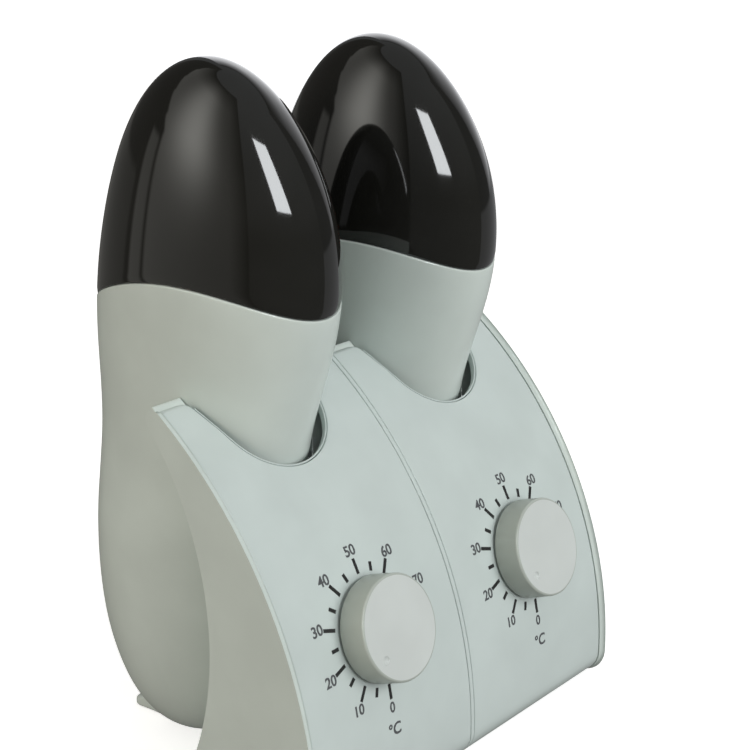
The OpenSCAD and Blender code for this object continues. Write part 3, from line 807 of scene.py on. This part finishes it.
def pod_cap(side_name):
    """The smoked upper part of a pod, set in by a hair's breadth at its edge."""
    edge = [(0.9 * MM, 0.25 * MM), (0.45 * MM, 0.35 * MM), (0.2 * MM, 0.7 * MM),
            (0.2 * MM, 1.7 * MM), (0.5 * MM, 2 * MM)]
    made = pod_end(f"pod_cap_{side_name}_moulding", SIDES[side_name], POD_TOP, edge, CAP)
    return place(made, "base", "smoked_cap", f"pod_cap_{side_name}")


# ---------- dials ----------
def knob(side_name):
    """A plain round knob, a little crowned, with a small dimple that points at the scale."""
    side = SIDES[side_name]
    base = 0.9 * MM              # gap between the knob and the panel
    hollow_r = 18 * MM
    edge = 0.9 * MM
    crown = 0.15 * MM
    draft = 0.2 * MM
    top_r = KNOB_R - draft
    around = 160
    turned = front_matrix(side * POD_X, DIAL_LEAN)
    profile = [(17.5 * MM, KNOB_H - 2.5 * MM), (hollow_r, KNOB_H - 3 * MM), (hollow_r, base),
               (KNOB_R - 0.5 * MM, base), (KNOB_R - 0.1 * MM, base + 0.15 * MM),
               (KNOB_R, base + 0.5 * MM)]
    low = KNOB_H - crown - edge
    for k in range(9):
        a = math.pi / 2 * k / 8
        profile.append((top_r - edge + edge * math.cos(a), low + edge * math.sin(a)))
    # the skirt takes the darker copy of the knob plastic, as painted shade
    skirt = lathe("knob_skirt", profile, KNOB_SIDE_PAINTED_SHADE, turned, around)

    face_r = top_r - edge
    pointer = math.radians(SETTING_C * DEGREES_PER_C)
    dimple = Vector((-math.sin(pointer), -math.cos(pointer))) * KNOB_R * 0.72
    dimple_r = 1.7 * MM
    dimple_depth = 0.75 * MM
    turns = [2 * math.pi * k / around for k in range(around)]
    ring = [(face_r * math.cos(a), face_r * math.sin(a)) for a in turns]
    inner = [p for p in inside_points(ring, spacing=1.1 * MM, margin=0.5 * MM)
             if (Vector(p) - dimple).length > dimple_r * 1.25]
    circles = 9                  # of fine points in and just round the dimple
    for r in range(1, circles + 1):
        radius = dimple_r * 1.15 * r / circles
        some = 6 * r
        inner += [(dimple.x + radius * math.cos(2 * math.pi * k / some),
                   dimple.y + radius * math.sin(2 * math.pi * k / some)) for k in range(some)]
    inner.append(tuple(dimple))

    def face_point(a, b):
        height = KNOB_H - crown * (a * a + b * b) / (face_r * face_r)
        away = (Vector((a, b)) - dimple).length / dimple_r
        if away < 1:
            height -= dimple_depth * (1 - away * away) ** 0.7
        return turned @ Vector((a, b, height))

    points = [face_point(a, b) for a, b in ring + [tuple(p) for p in inner]]
    face = add_mesh("knob_face", points, fill(ring, inner), KNOB)
    made = join([skirt, face], f"knob_{side_name}_moulding")
    weld(made)
    return place(made, f"dial_{side_name}", "knob", f"knob_{side_name}")


def weld(piece):
    """Merges points that fall together where pieces were joined."""
    work = bmesh.new()
    work.from_mesh(piece.data)
    bmesh.ops.remove_doubles(work, verts=work.verts, dist=0.02 * MM)
    bmesh.ops.recalc_face_normals(work, faces=work.faces)
    work.to_mesh(piece.data)
    work.free()
    piece.data.set_sharp_from_angle(angle=CREASE)


def dial_place(side, a, b, height):
    """A point of the dial, drawn flat round its centre, wrapped on the curved panel."""
    return on_front(side * POD_X + a, FRONT_R * DIAL_LEAN + b, -height)


def ticks(side):
    """Ticks every 5 degrees C, long ones at the tens."""
    low, high = 0.01 * MM, 0.12 * MM
    points, faces = [], []
    for degrees_c in range(0, 81, 5):
        outer = TICK_SHORT if degrees_c % 10 else TICK_LONG
        turn = math.radians(DEGREES_PER_C * degrees_c)
        out = Vector((-math.sin(turn), -math.cos(turn)))
        across = Vector((out.y, -out.x)) * TICK_W / 2
        start = len(points)
        for height in (low, high):
            for radius, sign in ((TICK_IN, -1), (outer, -1), (outer, 1), (TICK_IN, 1)):
                flat = out * radius + across * sign
                points.append(dial_place(side, flat.x, flat.y, height))
        faces.append([start + k for k in (0, 1, 2, 3)])
        faces.append([start + k for k in (7, 6, 5, 4)])
        for k in range(4):
            j = (k + 1) % 4
            faces.append([start + k, start + j, start + 4 + j, start + 4 + k])
    return add_mesh("ticks", points, faces, INK)


def printed_text(words, size, side, a, b):
    """Words centred on a point of the dial, as thin print wrapped on the panel."""
    curve = bpy.data.curves.new("print", "FONT")
    curve.body = words
    curve.size = size
    curve.align_x = "CENTER"
    curve.align_y = "CENTER"
    curve.resolution_u = 6
    curve.extrude = 0.05 * MM
    curve.offset = 0.02 * size
    text = bpy.data.objects.new("print", curve)
    bpy.context.scene.collection.objects.link(text)
    bpy.context.view_layer.update()
    mesh = bpy.data.meshes.new_from_object(text)
    bpy.data.objects.remove(text)
    low = min(v.co.y for v in mesh.vertices)
    high = max(v.co.y for v in mesh.vertices)
    middle = (low + high) / 2
    for vertex in mesh.vertices:
        x, y, z = vertex.co
        vertex.co = dial_place(side, a + x, b + y - middle, z + 0.06 * MM)
    mesh.materials.clear()
    mesh.materials.append(NUMERAL_INK)
    printed = bpy.data.objects.new("print", mesh)
    bpy.context.scene.collection.objects.link(printed)
    return printed


def dial_print(side_name):
    """The whole print of one dial: ticks, numerals at the tens, and the unit below."""
    side = SIDES[side_name]
    pieces = [ticks(side)]
    for degrees_c in range(0, 81, 10):
        turn = math.radians(DEGREES_PER_C * degrees_c)
        pieces.append(printed_text(str(degrees_c), NUMERAL_SIZE, side,
                                   -NUMERAL_R * math.sin(turn), -NUMERAL_R * math.cos(turn)))
    pieces.append(printed_text("°C", UNIT_SIZE, side, 0, -UNIT_DOWN))
    return place(join(pieces, f"dial_print_{side_name}"), "base", "dial_print",
                 f"dial_marks_{side_name}")


# ---------- smaller pieces ----------
def pod_foot(side_name):
    """A low tongue that points backwards from under the pod, flat where it stands."""
    side = SIDES[side_name]
    start, turn_y, round_r = FRONT_Y + 116 * MM, FRONT_Y + 133.6 * MM, 4.7 * MM
    straight_half = 1.2 * MM
    slope_y, high, tip_high = FRONT_Y + 127 * MM, 8.6 * MM, 3.2 * MM
    reaches = [start, FRONT_Y + 121 * MM, slope_y, FRONT_Y + 130 * MM]
    reaches += [turn_y + round_r * math.sin(a) for a in np.linspace(0, math.pi / 2 - 0.06, 14)]
    tip_y = turn_y + round_r
    around = 48
    points, faces = [], []
    for y in reaches:
        bend = math.sqrt(max(0, round_r ** 2 - max(0, y - turn_y) ** 2)) + straight_half
        slope = min(1, max(0, (y - slope_y) / (tip_y - slope_y)))
        top = high + (tip_high - high) * slope
        nose = min(1, (tip_y - y) / (1.6 * MM) + 0.35)
        half_high = top / 2 * math.sqrt(nose * (2 - nose))
        for k in range(around):
            a = 2 * math.pi * k / around
            c, d = math.cos(a), math.sin(a)
            x = bend * math.copysign(abs(c) ** 0.5, c)
            z = half_high * math.copysign(abs(d) ** 0.5, d)
            points.append((side * POD_X + x, y, top / 2 + z - (top / 2 - half_high) * 0.6))
    for r in range(len(reaches) - 1):
        for k in range(around):
            j = (k + 1) % around
            faces.append([r * around + k, r * around + j, (r + 1) * around + j,
                          (r + 1) * around + k])
    faces.append(list(range(around)))
    faces.append(list(reversed(range(len(points) - around, len(points)))))
    made = add_mesh(f"pod_foot_{side_name}_moulding", points, faces, SHELL)
    return place(made, "base", "shell", f"pod_foot_{side_name}")


def finish_cad_nodes():
    """Every CAD node that stays gets its slot's material."""
    slots = {entry["node"]: entry["material_slot"] for entry in frame["record"]["subparts"]}
    for name, node in frame["nodes"].items():
        node.data.materials.clear()
        node.data.materials.append(SLOT_MATERIALS[slots[name]])


# ---------- studio ----------
def studio():
    """A pale floor that curves up into a backdrop; it faces the reference viewpoint."""
    half = 3.0
    rise_r = 0.6
    front_y, back_y, top = -2.6, 1.9, 2.6
    profile = [(front_y, 0), (back_y - rise_r, 0)]
    profile += [(back_y - rise_r + rise_r * math.sin(a), rise_r - rise_r * math.cos(a))
                for a in np.linspace(0.05, math.pi / 2, 16)]
    profile.append((back_y, top))
    turned = Matrix.Rotation(math.radians(-50.6), 4, "Z")
    points = [turned @ Vector((x, y, z)) for y, z in profile for x in (-half, half)]
    faces = [[2 * i, 2 * i + 1, 2 * i + 3, 2 * i + 2] for i in range(len(profile) - 1)]
    floor = add_mesh("studio_floor", points, faces, studio_paint("studio_paint", (0.9, 0.9, 0.9)))
    floor.visible_glossy = False
    floor.visible_diffuse = False


def toward(azimuth, elevation):
    """Direction from the dryer: azimuth 0 is behind it, 90 to its right, elevation is upwards."""
    a, e = math.radians(azimuth), math.radians(elevation)
    return Vector((math.sin(a) * math.cos(e), math.cos(a) * math.cos(e), math.sin(e)))


def reflected_panel(name, azimuths, elevations, glow, tint, slant=0):
    """A glowing panel 1.25 m off that only glossy surfaces show; glow(azimuth, elevation) is its
    strength there, and slant turns it by so many degrees for each degree up."""
    centre = Vector((0, FRONT_Y + 55 * MM, 235 * MM))
    distance = 1.25
    across, up = 60, 60
    points, strengths = [], []
    for elevation in np.linspace(*elevations, up + 1):
        for azimuth in np.linspace(*azimuths, across + 1):
            shifted = azimuth + slant * (elevation - elevations[0])
            points.append(centre + toward(shifted, elevation) * distance)
            strengths.append(glow(azimuth, elevation))
    faces = [[j * (across + 1) + i, j * (across + 1) + i + 1, (j + 1) * (across + 1) + i + 1,
              (j + 1) * (across + 1) + i] for j in range(up) for i in range(across)]
    made = bpy.data.materials.new(name)
    made.use_nodes = True
    nodes, links = made.node_tree.nodes, made.node_tree.links
    nodes.clear()
    shine = nodes.new("ShaderNodeEmission")
    shine.inputs["Color"].default_value = (*tint, 1)
    stored = nodes.new("ShaderNodeAttribute")
    stored.attribute_name = "glow"
    links.new(stored.outputs["Fac"], shine.inputs["Strength"])
    out = nodes.new("ShaderNodeOutputMaterial")
    links.new(shine.outputs["Emission"], out.inputs["Surface"])
    panel = add_mesh(name, points, faces, made)
    panel.data.attributes.new("glow", "FLOAT", "POINT").data.foreach_set("value", strengths)
    panel.visible_camera = False
    panel.visible_diffuse = False
    panel.visible_shadow = False


def area_light(name, azimuth, elevation, watts, tint):
    """A square soft light 1.8 m off that only matt surfaces show."""
    distance = 1.8
    lamp = bpy.data.lights.new(name, "AREA")
    lamp.size = 0.9
    lamp.energy = watts
    lamp.color = tint
    light = bpy.data.objects.new(name, lamp)
    bpy.context.scene.collection.objects.link(light)
    direction = toward(azimuth, elevation)
    light.location = Vector((0, FRONT_Y + 55 * MM, 130 * MM)) + direction * distance
    light.rotation_euler = direction.to_track_quat("Z", "Y").to_euler()
    light.visible_glossy = False


def bell(value, middle, below, above):
    """1 at the middle, falling off over one width below it and another above it."""
    width = below if value < middle else above
    return math.exp(-((value - middle) / width) ** 2)


def lights():
    """White to the camera, dim and even for matt surfaces, and a dark studio in reflections."""
    world = bpy.data.worlds.new("studio")
    bpy.context.scene.world = world
    world.use_nodes = True
    nodes, links = world.node_tree.nodes, world.node_tree.links
    sky = nodes["Background"]
    ray = nodes.new("ShaderNodeLightPath")
    where = nodes.new("ShaderNodeTexCoord")
    split = nodes.new("ShaderNodeSeparateXYZ")
    links.new(where.outputs["Generated"], split.inputs["Vector"])
    up = split.outputs["Z"]
    shade = ramp(nodes, links, up, 0.1, 0.9, (0.085, 0.085, 0.08), (0.26, 0.27, 0.28))
    soft = ramp(nodes, links, up, -0.8, 0.8, (0.22, 0.215, 0.20), (0.47, 0.47, 0.46))
    for seen_by, colour in (("Is Diffuse Ray", soft), ("Is Camera Ray", None)):
        mix = nodes.new("ShaderNodeMix")
        mix.data_type = "RGBA"
        mix.inputs["B"].default_value = (1, 1, 1, 1)
        if colour:
            links.new(colour, mix.inputs["B"])
        links.new(ray.outputs[seen_by], mix.inputs["Factor"])
        links.new(shade, mix.inputs["A"])
        shade = mix.outputs["Result"]
    links.new(shade, sky.inputs["Color"])
    dark = 0.06                  # between the bright parts of the reflected panels

    def left_glow(azimuth, elevation):
        """A broad sheen with a bright middle, then a dark stretch with two low, dim bands."""
        if azimuth > -38 + 0.9 * max(0, elevation - 18):
            if -35 < azimuth < -27 and elevation < 16:
                return 0.36
            return 0.14 if azimuth > -22 and elevation < 4 else dark
        evenly = (0.24 + 0.2 * (azimuth + 104) / 66) * min(1, (azimuth + 106) / 14)
        peak = 2.25 * bell(azimuth, -63, 14.5, 18) * bell(elevation, 25, 14, 32)
        return (evenly + peak) * min(1, (70 - elevation) / 18)

    def right_glow(azimuth, elevation):
        """A sheen that brightens away from a slanting edge, over a dim band along the floor."""
        edge = 104 + 0.5 * max(0, elevation)
        if elevation < -3 or azimuth > edge:
            return 0.3 if elevation < -3 else dark
        return (0.3 + 1.9 * min(1, (edge - azimuth) / 60)) * min(1, (60 - elevation) / 20)

    reflected_panel("strip", (-159, -138), (17, 47), lambda azimuth, elevation: 12.5,
                    (0.95, 0.98, 1.0), slant=0.48)
    reflected_panel("left_softbox", (-106, 24), (-45, 70), left_glow, (1.0, 0.99, 0.93))
    reflected_panel("right_softbox", (35, 145), (-45, 60), right_glow, (0.96, 0.97, 1.0))
    area_light("key", 176, 20, 23.5, (1, 1, 1))
    area_light("left_fill", -80, 15, 13, (1, 0.91, 0.79))


def camera():
    """The reference viewpoint: 50.6 degrees round to the left and 17.6 degrees up."""
    azimuth, elevation = math.radians(50.636), math.radians(17.569)
    view = bpy.data.cameras.new("camera")
    view.sensor_width = 36
    view.lens = 82.34
    seen_from = bpy.data.objects.new("camera", view)
    bpy.context.scene.collection.objects.link(seen_from)
    seen_from.location = (-0.4888, FRONT_Y - 0.3512, 0.3502)
    seen_from.rotation_euler = (math.pi / 2 - elevation, 0, -azimuth)
    bpy.context.scene.camera = seen_from


camera()
finish_cad_nodes()
housing()
for name in SIDES:
    front_panel(name)
    pod_shell(name)
    pod_cap(name)
    pod_foot(name)
    knob(name)
    dial_print(name)
studio()
lights()
bpy.context.scene.view_settings.view_transform = "Standard"
